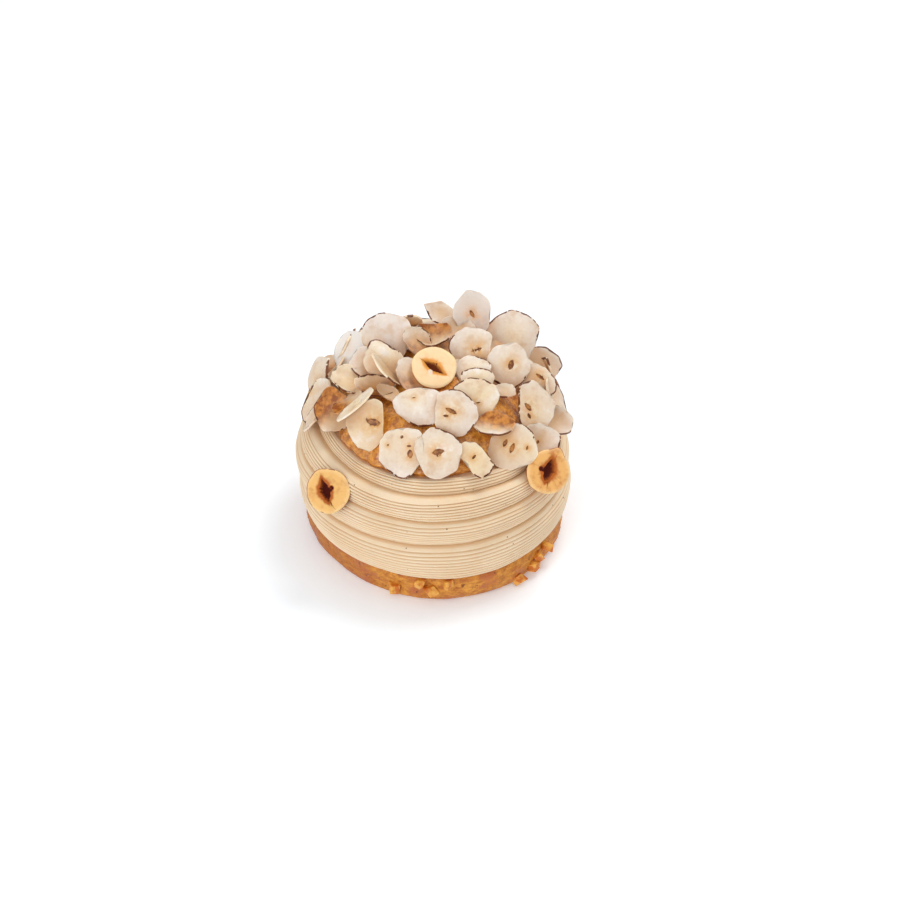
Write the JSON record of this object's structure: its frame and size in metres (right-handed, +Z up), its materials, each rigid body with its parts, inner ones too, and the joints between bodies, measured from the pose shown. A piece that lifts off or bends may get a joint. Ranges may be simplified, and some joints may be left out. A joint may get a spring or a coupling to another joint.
{
  "type": "filled choux pastry",
  "caption": "Round individual paris-brest: choux base, ribbed bands of piped praline cream, and a choux cap heaped with hazelnut slices and halves.",
  "frame": {"origin": "on the table, under the middle of the choux base", "axes": "+Z up, -Y towards the side that the picture shows"},
  "size_m": [0.0827, 0.0819, 0.0668],
  "materials": {
    "choux": "golden brown baked choux crust, matt, with fine pores",
    "cream": "pale beige praline cream, soft satin, with tiny dark specks",
    "slices": "ivory hazelnut slices, slightly translucent, over glazed amber choux",
    "nut": "toasted hazelnut, golden cut face and brown skin, satin"
  },
  "bodies": {
    "root": {"choux_base": "choux", "praline_cream": "cream", "choux_cap_with_slices": "slices", "hazelnut_half_top": "nut", "hazelnut_half_left": "nut", "hazelnut_half_right": "nut"}
  },
  "joints": []
}
